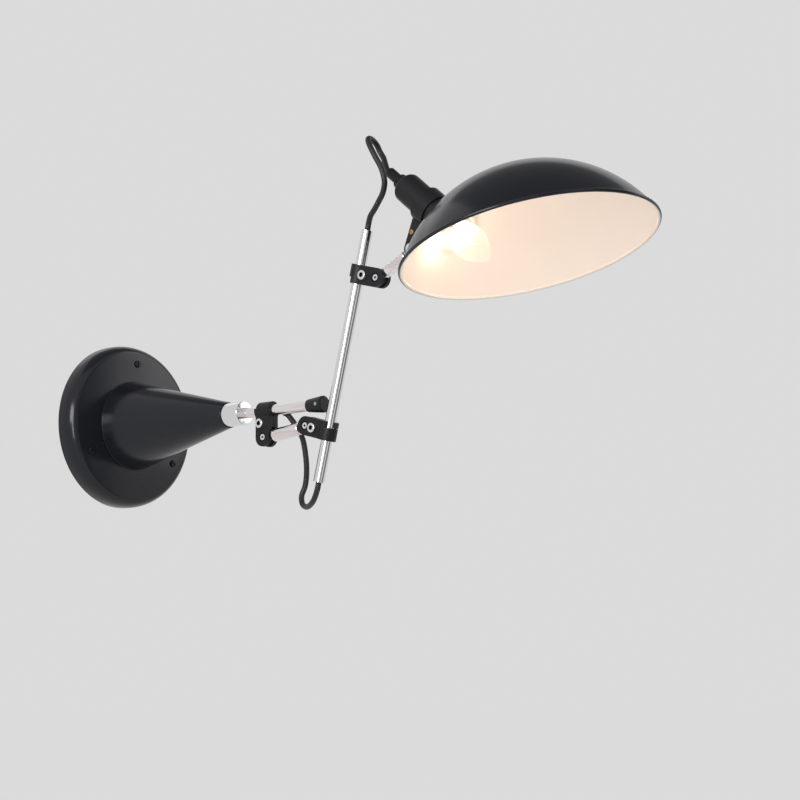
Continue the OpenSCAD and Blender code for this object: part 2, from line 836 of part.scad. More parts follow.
module shade() {
    color("#1c1c1e") difference() {
        on_shade() {
            difference() {
                sphere(r = dish_r, $fn = 96);
                sphere(r = dish_r - shade_wall, $fn = 96);
                translate([0, 0, rim_up - 3 * dish_r]) cylinder(r = 2 * dish_r, h = 3 * dish_r);
            }
            rotate_extrude($fn = 96) translate([shade_r, rim_up]) circle(r = bead_r, $fn = 32);
        }
        on_holder() cylinder(r = neck_hole_r, h = 2 * dish_r);
    }
}

module shade_ring() {
    color("ivory") on_holder()
        tube(shade_ring_r, neck_r + fit_gap, shade_ring_top - shade_ring_t, shade_ring_top);
}

module holder_shell() {
    neck_wall = 1.5;
    color("#1c1c1e") on_holder() difference() {
        union() {
            translate([0, 0, neck_end]) cylinder(r = neck_r, h = seat_up - neck_end + overlap);
            translate([0, 0, seat_up]) cylinder(r = holder_r, h = holder_top - seat_up);
        }
        translate([0, 0, insert_from - 2])
            cylinder(r = holder_r - holder_wall, h = 2 * big);
        translate([0, 0, neck_end - overlap])
            cylinder(r = neck_r - neck_wall, h = insert_from - neck_end);
    }
}

module holder_cap() {
    color("#1c1c1e") on_holder() difference() {
        union() {
            translate([0, 0, holder_top + fit_gap])
                rounded_can(holder_cap_r, holder_cap_len - fit_gap, cap_edge_r);
            translate([0, 0, holder_top - cap_spigot])
                cylinder(r = holder_r - holder_wall - fit_gap, h = cap_spigot + overlap);
        }
        translate([0, 0, holder_top - cap_spigot - overlap])
            rounded_can(holder_cap_r - holder_wall, cap_spigot + holder_cap_len - holder_wall + overlap,
                        cap_edge_r - holder_wall);
        translate([0, 0, cap_top - cap_edge_r]) cylinder(r = nose_r + fit_gap, h = big);
    }
}

module socket_insert() {
    color("ivory") on_holder() difference() {
        translate([0, 0, insert_from]) cylinder(r = insert_r, h = insert_to - insert_from);
        translate([0, 0, insert_from - overlap])
            cylinder(r = contact_r + fit_gap, h = glass_up - insert_from + bulb_cap_len + 2 * overlap);
        cylinder(r = bulb_cap_r / 2 + fit_gap, h = big * 4);
    }
}

module socket_contacts() {
    tip_at = glass_up + bulb_cap_len + bulb_contact_t;
    color("#b08d57") on_holder() {
        tube(contact_r, bulb_cap_r + run_gap, glass_up + 3, glass_up + bulb_cap_len);
        translate([0, 0, tip_at + fit_gap]) cylinder(r = bulb_cap_r / 2, h = insert_to - tip_at - fit_gap);
    }
}

module gland_ring() {
    color("#1c1c1e") on_holder() translate([0, 0, cap_top + fit_gap]) difference() {
        rounded_can(gland_r, gland_ring_t, 1);
        for (i = [0 : gland_flutes - 1])
            rotate([0, 0, 360 * i / gland_flutes]) translate([gland_r + flute_r / 2, 0, -overlap])
                cylinder(r = flute_r, h = gland_ring_t + 2 * overlap);
        translate([0, 0, -overlap]) cylinder(r = nose_r + fit_gap, h = big);
    }
}

module gland_nose() {
    inside = 5;
    color("#1c1c1e") on_holder() translate([0, 0, cap_top - inside]) difference() {
        rounded_can(nose_r, gland_len + inside, 1.5);
        translate([0, 0, -overlap]) cylinder(r = cord_r + fit_gap, h = big);
    }
}

module cord_in_holder() {
    color("#101010") on_holder() translate([0, 0, insert_to + fit_gap])
        cylinder(r = cord_r, h = gland_top - insert_to - 2 * fit_gap);
}

// Bulb, in a frame with z from its cap to its tip

module on_bulb() {
    on_holder() translate([0, 0, glass_up]) mirror([0, 0, 1]) children();
}

// Half outline of a candle bulb's glass, drawn in by the wall where inner is that wall
function candle_r(t) = t < 0.55
    ? bulb_cap_r + (bulb_r - bulb_cap_r) * (1 - cos(180 * t / 0.55)) / 2
    : 1.5 + (bulb_r - 1.5) * pow(cos(90 * (t - 0.55) / 0.45), 0.9);

module candle(inner) {
    steps = 22;
    height = bulb_glass_len - inner;
    rotate_extrude() polygon(concat(
        [[0, 0]],
        [for (i = [0 : steps]) [candle_r(i / steps) - inner, height * i / steps]],
        [[0, height]]
    ));
}

module bulb_glass() {
    color("#fff2d8") on_bulb() difference() {
        candle(0);
        translate([0, 0, -fit_gap]) candle(glass_wall);
    }
}

module bulb_cap() {
    color("#b08d57") on_bulb() mirror([0, 0, 1]) translate([0, 0, fit_gap]) {
        cylinder(r = bulb_cap_r, h = bulb_cap_len);
        cylinder(r = bulb_cap_r / 2, h = bulb_cap_len + bulb_contact_t - fit_gap);
    }
}

// Glass stem, two lead wires and the filament between them
module bulb_filament() {
    stem_h = 24;
    lead_r = 0.4;
    lead_x = 5;
    lead_top = 44;
    color("#ffb050") on_bulb() {
        cylinder(r = 2.5, h = stem_h);
        for (s = [-1, 1])
            translate([0, 0, stem_h - 2]) rotate([0, s * atan(lead_x / (lead_top - stem_h)), 0])
                cylinder(r = lead_r, h = lead_top - stem_h + 2);
        translate([0, 0, lead_top - 1]) bar_x(0.6, -lead_x, lead_x);
    }
}

wall_plate();
flange();
flange_screws();
cone();
cone_lock_ring();
collar();
collar_nut();
collar_set_screw();
terminal_block();
cord_in_base();
arm_tube();
arm_end_cap();
arm_end_screw();
cord_in_arm();
cord_lower_loop();
on_arm_clamp() clamp_front(arm_finger_low, fit_gap);  // arm_clamp_front
on_arm_clamp() clamp_rear(arm_finger_low, fit_gap);  // arm_clamp_rear
on_arm_clamp() clamp_screw();  // arm_clamp_screw
on_arm_clamp() clamp_nut();  // arm_clamp_nut
on_arm_clamp() pivot_screw();  // strut_pivot_screw
strut_tube();
strut_eyes();
on_rod_clamp() clamp_front(finger_low, run_gap);  // rod_clamp_front
on_rod_clamp() clamp_rear(finger_low, run_gap);  // rod_clamp_rear
on_rod_clamp() clamp_screw();  // rod_clamp_screw
on_rod_clamp() clamp_nut();  // rod_clamp_nut
on_rod_clamp() pivot_screw();  // rod_pivot_screw
rod_tube();
rod_bushes();
cord_in_rod();
cord_upper_loop();
on_head_clamp() clamp_front(finger_low, run_gap);  // head_clamp_front
on_head_clamp() clamp_rear(finger_low, run_gap);  // head_clamp_rear
on_head_clamp() clamp_screw();  // head_clamp_screw
on_head_clamp() clamp_nut();  // head_clamp_nut
on_head_clamp() pivot_screw();  // head_arm_pivot_screw
head_arm_tube();
head_arm_eyes();
head_bracket();
bracket_screw();
head_pivot_screw();
head_pivot_nut();
shade();
shade_ring();
holder_shell();
holder_cap();
socket_insert();
socket_contacts();
gland_ring();
gland_nose();
cord_in_holder();
bulb_glass();
bulb_cap();
bulb_filament();
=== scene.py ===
import math
import bmesh
import bpy
from mathutils import Matrix, Vector


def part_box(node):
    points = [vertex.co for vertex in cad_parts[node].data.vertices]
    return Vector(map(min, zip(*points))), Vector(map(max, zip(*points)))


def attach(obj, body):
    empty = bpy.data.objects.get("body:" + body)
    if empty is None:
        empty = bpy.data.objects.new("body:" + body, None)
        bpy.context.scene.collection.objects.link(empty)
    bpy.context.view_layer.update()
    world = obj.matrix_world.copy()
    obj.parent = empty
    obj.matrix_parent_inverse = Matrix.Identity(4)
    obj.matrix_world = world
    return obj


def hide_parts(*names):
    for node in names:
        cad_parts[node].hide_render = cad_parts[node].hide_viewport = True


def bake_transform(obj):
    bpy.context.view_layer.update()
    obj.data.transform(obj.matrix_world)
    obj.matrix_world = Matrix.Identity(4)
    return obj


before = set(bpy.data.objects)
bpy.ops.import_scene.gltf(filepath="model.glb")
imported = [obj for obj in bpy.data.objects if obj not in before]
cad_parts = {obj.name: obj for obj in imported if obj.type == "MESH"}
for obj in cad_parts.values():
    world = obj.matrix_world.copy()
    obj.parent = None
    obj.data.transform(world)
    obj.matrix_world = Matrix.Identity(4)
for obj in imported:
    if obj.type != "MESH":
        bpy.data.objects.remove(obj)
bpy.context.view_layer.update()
print("frame loaded,", len(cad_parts), "pieces")


# View

photoView = {
    "place": (-1.5459, -1.7149, -0.2616),
    "back": (-0.7603, -0.6372, -0.1263),  # from the lamp towards the camera
    "roll": -0.45,  # degrees
    "lens": 90.0,
    "sensor": 36.0,
    "farthest": 60.0,
}


def makeCamera():
    data = bpy.data.cameras.new("photoCamera")
    data.lens = photoView["lens"]
    data.sensor_width = photoView["sensor"]
    data.clip_end = photoView["farthest"]
    camera = bpy.data.objects.new("photoCamera", data)
    bpy.context.scene.collection.objects.link(camera)
    back = Vector(photoView["back"]).normalized()
    right = Vector((0, 0, 1)).cross(back).normalized()
    up = back.cross(right)
    roll = math.radians(photoView["roll"])
    c, s = math.cos(roll), math.sin(roll)
    right, up = right * c + up * s, up * c - right * s
    turn = Matrix((right, up, back)).transposed().to_4x4()
    camera.matrix_world = Matrix.Translation(photoView["place"]) @ turn
    bpy.context.scene.camera = camera


makeCamera()
bpy.context.scene.view_settings.view_transform = "Standard"
print("camera set")


# Shader tools

noiseSpan = (0.3, 0.7)  # most of a noise's values lie in here


class Wire:  # a socket that can be used in sums
    def __init__(self, finish, socket):
        self.finish = finish
        self.socket = socket

    def math(self, operation, *terms):
        return self.finish.node("ShaderNodeMath", {"operation": operation}, dict(enumerate(terms)))

    def __add__(self, other):
        return self.math("ADD", self, other)

    def __radd__(self, other):
        return self.math("ADD", other, self)

    def __sub__(self, other):
        return self.math("SUBTRACT", self, other)

    def __rsub__(self, other):
        return self.math("SUBTRACT", other, self)

    def __mul__(self, other):
        return self.math("MULTIPLY", self, other)

    def __rmul__(self, other):
        return self.math("MULTIPLY", other, self)

    def __lt__(self, other):
        return self.math("LESS_THAN", self, other)

    def __gt__(self, other):
        return self.math("GREATER_THAN", self, other)


class Finish:  # a material and the nodes in it
    def __init__(self, name):
        self.material = bpy.data.materials.new(name)
        self.material.use_nodes = True
        self.tree = self.material.node_tree
        self.tree.nodes.clear()

    def node(self, kind, settings=None, values=None, out=0):
        made = self.tree.nodes.new(kind)
        for key, value in (settings or {}).items():
            if key == "stops":
                ramp = made.color_ramp
                while len(ramp.elements) < len(value):
                    ramp.elements.new(0.5)
                for element, (place, colour) in zip(ramp.elements, value):
                    element.position = place
                    element.color = rgb(*colour)
            else:
                setattr(made, key, value)
        for key, value in (values or {}).items():
            if isinstance(value, Wire):
                self.tree.links.new(value.socket, made.inputs[key])
            else:
                made.inputs[key].default_value = value
        return Wire(self, made.outputs[out])

    def spot(self):
        return self.node("ShaderNodeTexCoord", out="Object")

    def noise(self, scale, detail=3.0, rough=0.5, at=None, stretch=None):
        where = at or self.spot()
        if stretch:
            where = self.node("ShaderNodeMapping", {}, {"Vector": where, "Scale": stretch})
        return self.node("ShaderNodeTexNoise", {}, {
            "Vector": where, "Scale": scale, "Detail": detail, "Roughness": rough,
        })

    def ramp(self, value, stops):
        return self.node("ShaderNodeValToRGB", {"stops": stops}, {"Fac": value})

    def spread(self, value, low, high, toLow, toHigh):
        return self.node("ShaderNodeMapRange", {}, {
            "Value": value, "From Min": low, "From Max": high, "To Min": toLow, "To Max": toHigh,
        })

    def vary(self, noise, low, high):
        return self.spread(noise, *noiseSpan, low, high)

    def mix(self, mask, a, b):
        return self.node("ShaderNodeMix", {"data_type": "RGBA"}, {"Factor": mask, 6: a, 7: b}, out=2)

    def tones(self, mask, look):
        return self.mix(mask, rgb(*look["colour"]), rgb(*look["shade"]))

    def distance(self, point):
        return self.node("ShaderNodeVectorMath", {"operation": "DISTANCE"}, {
            0: self.spot(), 1: point,
        }, out="Value")

    def bump(self, height, strength, distance):
        return self.node("ShaderNodeBump", {}, {
            "Height": height, "Strength": strength, "Distance": distance,
        })

    def surface(self, **values):
        return self.done(self.node("ShaderNodeBsdfPrincipled", {}, values))

    def done(self, shader):
        out = self.tree.nodes.new("ShaderNodeOutputMaterial")
        self.tree.links.new(shader.socket, out.inputs["Surface"])
        return self.material


def rgb(*levels):
    return (*levels, 1.0)


def shared(a, b, share):
    # two noises added, the second with its share of the whole
    return a * (1 - share) + b * share


# Finishes: a noise is its scale, detail and roughness, a bump its strength and its depth in metres

enamel = {
    "colour": (0.0090, 0.0096, 0.0140),
    "shade": (0.0118, 0.0125, 0.0172),
    "roughness": (0.16, 0.21),
    "gloss": 0.36,
    "cloud": (34.0, 4.0),
    "grain": (2600.0, 2.0),
    "peel": (620.0, 2.0, 0.4),  # orange peel, features about 1.5 mm across
    "roughnessGrain": 0.3,
    "peelGrain": 0.2,
    "bump": (0.25, 0.00002),
}


def enamelNodes(finish):
    cloud = finish.noise(*enamel["cloud"])
    grain = finish.noise(*enamel["grain"])
    peel = finish.noise(*enamel["peel"])
    colour = finish.tones(cloud, enamel)
    roughness = finish.vary(shared(cloud, grain, enamel["roughnessGrain"]), *enamel["roughness"])
    normal = finish.bump(shared(peel, grain, enamel["peelGrain"]), *enamel["bump"])
    return colour, roughness, normal


def makeEnamel():
    finish = Finish("blackEnamel")
    colour, roughness, normal = enamelNodes(finish)
    return finish.surface(**{
        "Base Color": colour, "Roughness": roughness, "Normal": normal,
        "Specular IOR Level": enamel["gloss"],
    })


dishInside = {
    "centre": (0.0, -0.601425, 0.068692),  # of the dish's sphere
    "split": 0.14340,  # what is nearer to the centre is inside
    "colour": (0.80, 0.775, 0.745),
    "shade": (0.77, 0.735, 0.695),
    "roughness": (0.38, 0.46),
    "cloud": (18.0, 3.0),
}


def insideDish(finish):
    return finish.distance(dishInside["centre"]) < dishInside["split"]


def makeShadeEnamel():
    # black outside and white inside
    finish = Finish("shadeEnamel")
    colour, roughness, normal = enamelNodes(finish)
    inside = insideDish(finish)
    soft = finish.noise(*dishInside["cloud"])
    insideRoughness = finish.vary(soft, *dishInside["roughness"])
    return finish.surface(**{
        "Base Color": finish.mix(inside, colour, finish.tones(soft, dishInside)),
        "Roughness": roughness * (1 - inside) + insideRoughness * inside,
        "Normal": normal,
        "Specular IOR Level": enamel["gloss"],
    })


castBlack = {
    "colour": (0.0085, 0.0087, 0.0105),
    "shade": (0.0122, 0.0124, 0.0145),
    "roughness": (0.33, 0.47),
    "gloss": 0.26,
    "cloud": (60.0, 3.0),
    "grain": (1500.0, 4.0, 0.6),
    "bump": (0.3, 0.00004),
}


def makeCast():
    finish = Finish("castBlack")
    grain = finish.noise(*castBlack["grain"])
    cloud = finish.noise(*castBlack["cloud"])
    return finish.surface(**{
        "Base Color": finish.tones(cloud, castBlack),
        "Roughness": finish.vary(grain, *castBlack["roughness"]),
        "Normal": finish.bump(grain, *castBlack["bump"]),
        "Specular IOR Level": castBlack["gloss"],
    })


mouldedBlack = {
    "colour": (0.0090, 0.0092, 0.0106),
    "shade": (0.0128, 0.0130, 0.0146),
    "roughness": (0.34, 0.46),
    "gloss": 0.26,
    "cloud": (45.0, 3.0),
    "grain": (900.0, 3.0),
    "roughnessGrain": 0.5,
    "bump": (0.2, 0.00003),
    # painted glare: the pale colour given to the holder's mouth inside the dish
    "mouth": (0.80, 0.76, 0.70),
}


def makeMoulded(name, paintedGlareMouth=False):
    # the pale mouth is painted glare: what stands inside the dish is painted pale for the bulb's full
    # light on it
    finish = Finish(name)
    grain = finish.noise(*mouldedBlack["grain"])
    cloud = finish.noise(*mouldedBlack["cloud"])
    colour = finish.tones(cloud, mouldedBlack)
    if paintedGlareMouth:
        colour = finish.mix(insideDish(finish), colour, rgb(*mouldedBlack["mouth"]))
    both = shared(cloud, grain, mouldedBlack["roughnessGrain"])
    return finish.surface(**{
        "Base Color": colour,
        "Roughness": finish.vary(both, *mouldedBlack["roughness"]),
        "Normal": finish.bump(grain, *mouldedBlack["bump"]),
        "Specular IOR Level": mouldedBlack["gloss"],
    })


cordSkin = {
    "colour": (0.0095, 0.0095, 0.010),
    "shade": (0.015, 0.015, 0.0158),
    "roughness": (0.40, 0.54),
    "cloud": (50.0, 3.0),
    "grain": (1700.0, 2.0),
    "ribs": (1.0, 2.0, 0.5),
    "ribStretch": (14.0, 260.0, 1.0),  # along the cord and round it
    "ribGrain": 0.4,
    "bump": (0.25, 0.00005),
}


def makeCordSkin():
    finish = Finish("cordSkin")
    along = finish.node("ShaderNodeUVMap", {"uv_map": "along"})
    ribs = finish.noise(*cordSkin["ribs"], along, cordSkin["ribStretch"])
    grain = finish.noise(*cordSkin["grain"])
    cloud = finish.noise(*cordSkin["cloud"])
    both = shared(ribs, grain, cordSkin["ribGrain"])
    return finish.surface(**{
        "Base Color": finish.tones(cloud, cordSkin),
        "Roughness": finish.vary(both, *cordSkin["roughness"]),
        "Normal": finish.bump(both, *cordSkin["bump"]),
    })


chromePlate = {
    "colour": (0.86, 0.855, 0.85),
    "shade": (0.79, 0.785, 0.785),
    "roughness": (0.07, 0.14),
    "smear": (55.0, 4.0, 0.6),
    "fine": (420.0, 3.0),
    "roughnessFine": 0.3,
    "bump": (0.1, 0.00004),
}
chromePaintedStreaks = {  # the arms' tubes: chrome with faint warm bands along y, painted reflection streaks in its colour
    **chromePlate,
    "colour": (0.93, 0.92, 0.915),
    "shade": (0.80, 0.70, 0.69),
    "roughness": (0.09, 0.17),
    "bands": (1.0, 2.0, 0.5),
    "bandStretch": (330.0, 14.0, 330.0),
    "bandSpan": (0.36, 0.64),
}


def makeChrome(name, plate):
    finish = Finish(name)
    smear = finish.noise(*plate["smear"])
    fine = finish.noise(*plate["fine"])
    tone = smear
    # the warm bands are painted reflection streaks
    if "bands" in plate:
        bands = finish.noise(*plate["bands"], None, plate["bandStretch"])
        tone = finish.spread(bands, *plate["bandSpan"], 0.0, 1.0)
    both = shared(smear, fine, plate["roughnessFine"])
    return finish.surface(**{
        "Base Color": finish.tones(tone, plate),
        "Metallic": 1.0,
        "Roughness": finish.vary(both, *plate["roughness"]),
        "Normal": finish.bump(smear, *plate["bump"]),
    })


zincSteel = {
    "colour": (0.50, 0.505, 0.52),
    "shade": (0.60, 0.60, 0.60),
    "roughness": (0.24, 0.40),
    "cloud": (70.0, 3.0),
    "brushed": (1.0, 4.0, 0.6),
    "brushStretch": (40.0, 900.0, 900.0),
    "bump": (0.15, 0.00002),
}


def makeZinc():
    finish = Finish("zincSteel")
    brushed = finish.noise(*zincSteel["brushed"], None, zincSteel["brushStretch"])
    cloud = finish.noise(*zincSteel["cloud"])
    return finish.surface(**{
        "Base Color": finish.tones(cloud, zincSteel),
        "Metallic": 1.0,
        "Roughness": finish.vary(brushed, *zincSteel["roughness"]),
        "Normal": finish.bump(brushed, *zincSteel["bump"]),
    })


satinBrass = {
    "colour": (0.33, 0.19, 0.075),
    "shade": (0.52, 0.34, 0.15),
    "roughness": (0.24, 0.42),
    "cloud": (160.0, 4.0, 0.6),
    "bump": (0.15, 0.00003),
    "metal": 1.0,
}
capPaintedLight = {  # painted light: pale metal, the lit bulb's light painted into its colour
    "colour": (0.72, 0.66, 0.54),
    "shade": (0.82, 0.77, 0.66),
    "roughness": (0.30, 0.42),
    "cloud": (160.0, 4.0, 0.6),
    "metal": 0.4,
}
whiteMoulded = {
    "colour": (0.74, 0.72, 0.66),
    "shade": (0.67, 0.645, 0.585),
    "roughness": (0.30, 0.42),
    "cloud": (120.0, 3.0),
    "bump": (0.1, 0.00003),
}
# painted shade: the dark inside of the screws' sockets
socketPaintedShade = {
    "colour": (0.012, 0.012, 0.013),
    "shade": (0.030, 0.030, 0.032),
    "roughness": (0.5, 0.7),
    "cloud": (400.0, 3.0),
    "gloss": 0.1,
}


def makeClouded(name, look):
    # colour, roughness and relief follow the same noise
    finish = Finish(name)
    cloud = finish.noise(*look["cloud"])
    values = {
        "Base Color": finish.tones(cloud, look),
        "Roughness": finish.vary(cloud, *look["roughness"]),
    }
    if "bump" in look:
        values["Normal"] = finish.bump(cloud, *look["bump"])
    if "metal" in look:
        values["Metallic"] = look["metal"]
    if "gloss" in look:
        values["Specular IOR Level"] = look["gloss"]
    return finish.surface(**values)


bulbGlass = {
    "colour": (0.05, 0.046, 0.04),
    "shade": (0.08, 0.07, 0.056),
    "roughness": (0.05, 0.12),
    "streak": (240.0, 3.0),
    "cap": (0.0, -0.479755, 0.172608),
    "fall": (0.012, 0.066),  # metres from the cap between which the glow fades
    "glow": ((0.0, (1.0, 0.92, 0.78)), (0.5, (0.60, 0.48, 0.32)), (1.0, (0.30, 0.265, 0.21))),
    "glowStrength": 3.0,
    "veil": ((0.0, 0.85), (0.28, 0.42), (0.50, 0.04), (1.0, 0.02)),  # how solid the glow looks
    "edge": 0.16,
    "edgeBlend": 0.30,
}


def makeBulbGlass():
    finish = Finish("bulbGlass")
    fade = finish.spread(finish.distance(bulbGlass["cap"]), *bulbGlass["fall"], 0.0, 1.0)
    streak = finish.noise(*bulbGlass["streak"])
    veil = finish.ramp(fade, [(place, (level,) * 3) for place, level in bulbGlass["veil"]])
    edge = finish.node("ShaderNodeLayerWeight", {}, {"Blend": bulbGlass["edgeBlend"]}, out="Facing")
    return finish.surface(**{
        "Base Color": finish.tones(streak, bulbGlass),
        "Roughness": finish.vary(streak, *bulbGlass["roughness"]),
        "Emission Color": finish.ramp(fade, bulbGlass["glow"]),
        "Emission Strength": bulbGlass["glowStrength"],
        "Alpha": veil + edge * bulbGlass["edge"],
    })


filament = {
    "colour": (1.0, 0.75, 0.40),
    "shade": (1.0, 0.85, 0.60),
    "roughness": (0.4, 0.5),
    "flicker": (300.0, 2.0),
    "glow": {"colour": (1.0, 0.62, 0.25), "shade": (1.0, 0.75, 0.42)},
    "glowStrength": 12.0,
}


def makeFilament():
    finish = Finish("filamentGlow")
    flicker = finish.noise(*filament["flicker"])
    return finish.surface(**{
        "Base Color": finish.tones(flicker, filament),
        "Roughness": finish.vary(flicker, *filament["roughness"]),
        "Emission Color": finish.tones(flicker, filament["glow"]),
        "Emission Strength": filament["glowStrength"],
    })


finishes = {
    "enamel": makeEnamel(),
    "shade": makeShadeEnamel(),
    "cast": makeCast(),
    "moulded": makeMoulded("mouldedBlack"),
    "holder": makeMoulded("holderBlack", True),
    "cord": makeCordSkin(),
    "chrome": makeChrome("chromePlate", chromePlate),
    "chromeWithPaintedStreaks": makeChrome("chromePaintedStreaks", chromePaintedStreaks),
    "zinc": makeZinc(),
    "brass": makeClouded("satinBrass", satinBrass),
    "capPaintedLight": makeClouded("capPaintedLight", capPaintedLight),
    "porcelain": makeClouded("whiteMoulded", whiteMoulded),
    "glass": makeBulbGlass(),
    "filament": makeFilament(),
    # the socket finish is painted shade for the screws' recesses
    "socket": makeClouded("socketPaintedShade", socketPaintedShade),
}
print("finishes made,", len(finishes))


# Cords

rodFoot = Vector((0.0, -0.307444, -0.081593))
rodUp = Vector((0.0, -0.258819, 0.965926))
glandEnd = Vector((0.0, -0.407517, 0.234306))
glandUp = Vector((0.0, 0.760406, 0.649448))
lowerSlant = Vector((-0.5, -0.6, -0.62)).normalized()  # the lower loop's last stretch bends along this

flex = {
    "radius": 0.003,
    "sides": 20,
    "step": 0.0022,
    "samples": 24,  # of the curve from one point to the next, before it is cut to equal steps
    "firstSide": (0.64, -0.77, 0.0),
    "skinLength": 8.0,  # of the skin's pattern to a metre
    "straight": 0.008,
    "topStraight": 0.004,
    "gap": 0.0002,
    "lead": 0.015,
    "rodLength": 0.268,
}

# Points are x, out from the wall and up, in millimetres. Cuts are places on the whole line.
# A stretch rides on its one body; the two bodies and the bends, from the first bend to the second, given
# for the others are not used here.
lowerLoop = {
    "node": "cord_lower_loop",
    "points": [
        (0.6, 244, -0.6), (2.4, 251, -2.4), (5.5, 257, -5.5), (9, 261, -12), (13, 265, -20),
        (18, 268, -32), (22, 268, -46), (25, 267, -60), (28, 264, -72), (29, 261, -82),
        (27, 258, -92), (24, 262, -101), (18, 273, -105), (11, 285, -104), (4, 297, -99),
    ],
    "cuts": (2, 5.35, 8, 16),  # the slot's mouth is 2 and the rod's foot 16
    "bodies": (("arm", "strut"), ("strut", "rod_clamp"), ("rod_clamp", "rod")),
    "bends": (
        ((0, 0, -0.008), (0, 0, -0.035)),
        ((0, 0, -0.039), (0, 0, -0.0705)),
        (lowerSlant * 0.1925, lowerSlant * 0.2315),
    ),
}
upperLoop = {
    "node": "cord_upper_loop",
    "points": [
        (-1, 380, 186), (-4, 385, 191), (-8, 394, 196), (-12, 403, 202), (-15, 411, 209),
        (-18, 416, 218), (-20, 416, 227), (-21, 413, 236), (-22, 408, 245), (-23, 404, 253),
        (-22, 399, 261), (-19, 395, 267), (-13, 392, 270), (-6, 391, 269), (0, 391, 265),
        (3, 392, 259), (4, 396, 252), (2, 400, 245),
    ],
    "cuts": (1, 6, 15, 22),  # the rod's top is 1 and the gland 22
    # its foot is on the axis that the head clamp swings round
    "bodies": (("head_clamp", "head_arm"), ("head_arm", "head"), ("head",)),
    "bends": (
        ((0, 0, 0.1785), (0, 0, 0.1990)),
        ((0, 0, 0.2050), (0, 0, 0.264)),
    ),
}


def metres(points):
    return [Vector((x, -out, up)) / 1000 for x, out, up in points]


def smoothLine(points, first, last):
    # Catmull-Rom through the points, cut to equal steps from one place to another
    fine, parts = [], round((last - first) * flex["samples"])
    for n in range(parts + 1):
        place = first + (last - first) * n / parts
        i = min(int(place), len(points) - 2)
        t = place - i
        a, b, c, d = (points[max(0, min(len(points) - 1, i + k))] for k in (-1, 0, 1, 2))
        fine.append(0.5 * (2 * b + (c - a) * t + (2 * a - 5 * b + 4 * c - d) * t ** 2
                           + (3 * b - a - 3 * c + d) * t ** 3))
    reach = [0.0]
    for p, q in zip(fine, fine[1:]):
        reach.append(reach[-1] + (q - p).length)
    count = round(reach[-1] / flex["step"])
    line, k = [], 0
    for i in range(count + 1):
        want = reach[-1] * i / count
        while k < len(fine) - 2 and reach[k + 1] < want:
            k += 1
        share = (want - reach[k]) / (reach[k + 1] - reach[k])
        line.append(fine[k].lerp(fine[k + 1], min(1.0, share)))
    return line, reach[-1]


def tubeMesh(name, line, startAlong, endAlong):
    mesh = bpy.data.meshes.new(name)
    shape = bmesh.new()
    along = shape.loops.layers.uv.new("along")
    sides, last = flex["sides"], len(line) - 1
    rings, side, far = [], Vector(flex["firstSide"]), [0.0]
    for i, p in enumerate(line):
        if i == 0:
            ahead = startAlong
        elif i == last:
            ahead = endAlong
        else:
            ahead = (line[i + 1] - line[i - 1]).normalized()
        side = (side - ahead * side.dot(ahead)).normalized()
        other = ahead.cross(side)
        rings.append([
            shape.verts.new(p + flex["radius"] * (math.cos(a) * side + math.sin(a) * other))
            for a in (2 * math.pi * k / sides for k in range(sides))
        ])
        if i:
            far.append(far[-1] + (p - line[i - 1]).length)
    for i in range(last):
        for k in range(sides):
            n = (k + 1) % sides
            face = shape.faces.new((rings[i][k], rings[i][n], rings[i + 1][n], rings[i + 1][k]))
            face.smooth = True
            for loop, (u, v) in zip(face.loops, ((i, k), (i, k + 1), (i + 1, k + 1), (i + 1, k))):
                loop[along].uv = (far[u] * flex["skinLength"], v / sides)
    shape.faces.new(list(reversed(rings[0])))
    shape.faces.new(rings[-1])
    bmesh.ops.recalc_face_normals(shape, faces=shape.faces)
    shape.to_mesh(mesh)
    shape.free()
    return mesh


def makeStretch(name, line, startAlong, endAlong):
    mesh = tubeMesh(name, line, startAlong, endAlong)
    mesh.materials.append(finishes["cord"])
    piece = bpy.data.objects.new(name, mesh)
    bpy.context.scene.collection.objects.link(piece)
    return piece


def makeLoop(name, loop, points, exitAlong, endAlong):
    cuts = loop["cuts"]
    whole = [smoothLine(points, first, last) for first, last in zip(cuts, cuts[1:])]
    for i, (line, length) in enumerate(whole):
        # neighbours share a ring's direction, so that no step shows between them
        start = exitAlong if i == 0 else (line[1] - whole[i - 1][0][-2]).normalized()
        end = endAlong if i == len(whole) - 1 else (whole[i + 1][0][1] - line[-2]).normalized()
        piece = makeStretch(name + str(i + 1), line, start, end)
        if i == 0:
            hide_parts(loop["node"])
        bodies = loop["bodies"][i]
        if len(bodies) == 1:
            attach(piece, bodies[0])
        else:
            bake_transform(piece)
        print("cord", piece.name, round(length, 4))


def makeCords():
    low = metres(lowerLoop["points"]) + [
        rodFoot - flex["straight"] * rodUp,
        rodFoot - flex["gap"] * rodUp,
        rodFoot + flex["lead"] * rodUp,
    ]
    makeLoop("lowerLoop", lowerLoop, low, (low[3] - low[1]).normalized(), rodUp)
    top = rodFoot + flex["rodLength"] * rodUp
    high = [top - flex["lead"] * rodUp, top, top + flex["topStraight"] * rodUp]
    high += metres(upperLoop["points"]) + [
        glandEnd + flex["topStraight"] * glandUp,
        glandEnd + flex["gap"] * glandUp,
        glandEnd - flex["lead"] * glandUp,
    ]
    makeLoop("upperLoop", upperLoop, high, rodUp, -glandUp)


makeCords()


# Pieces that keep their CAD shape

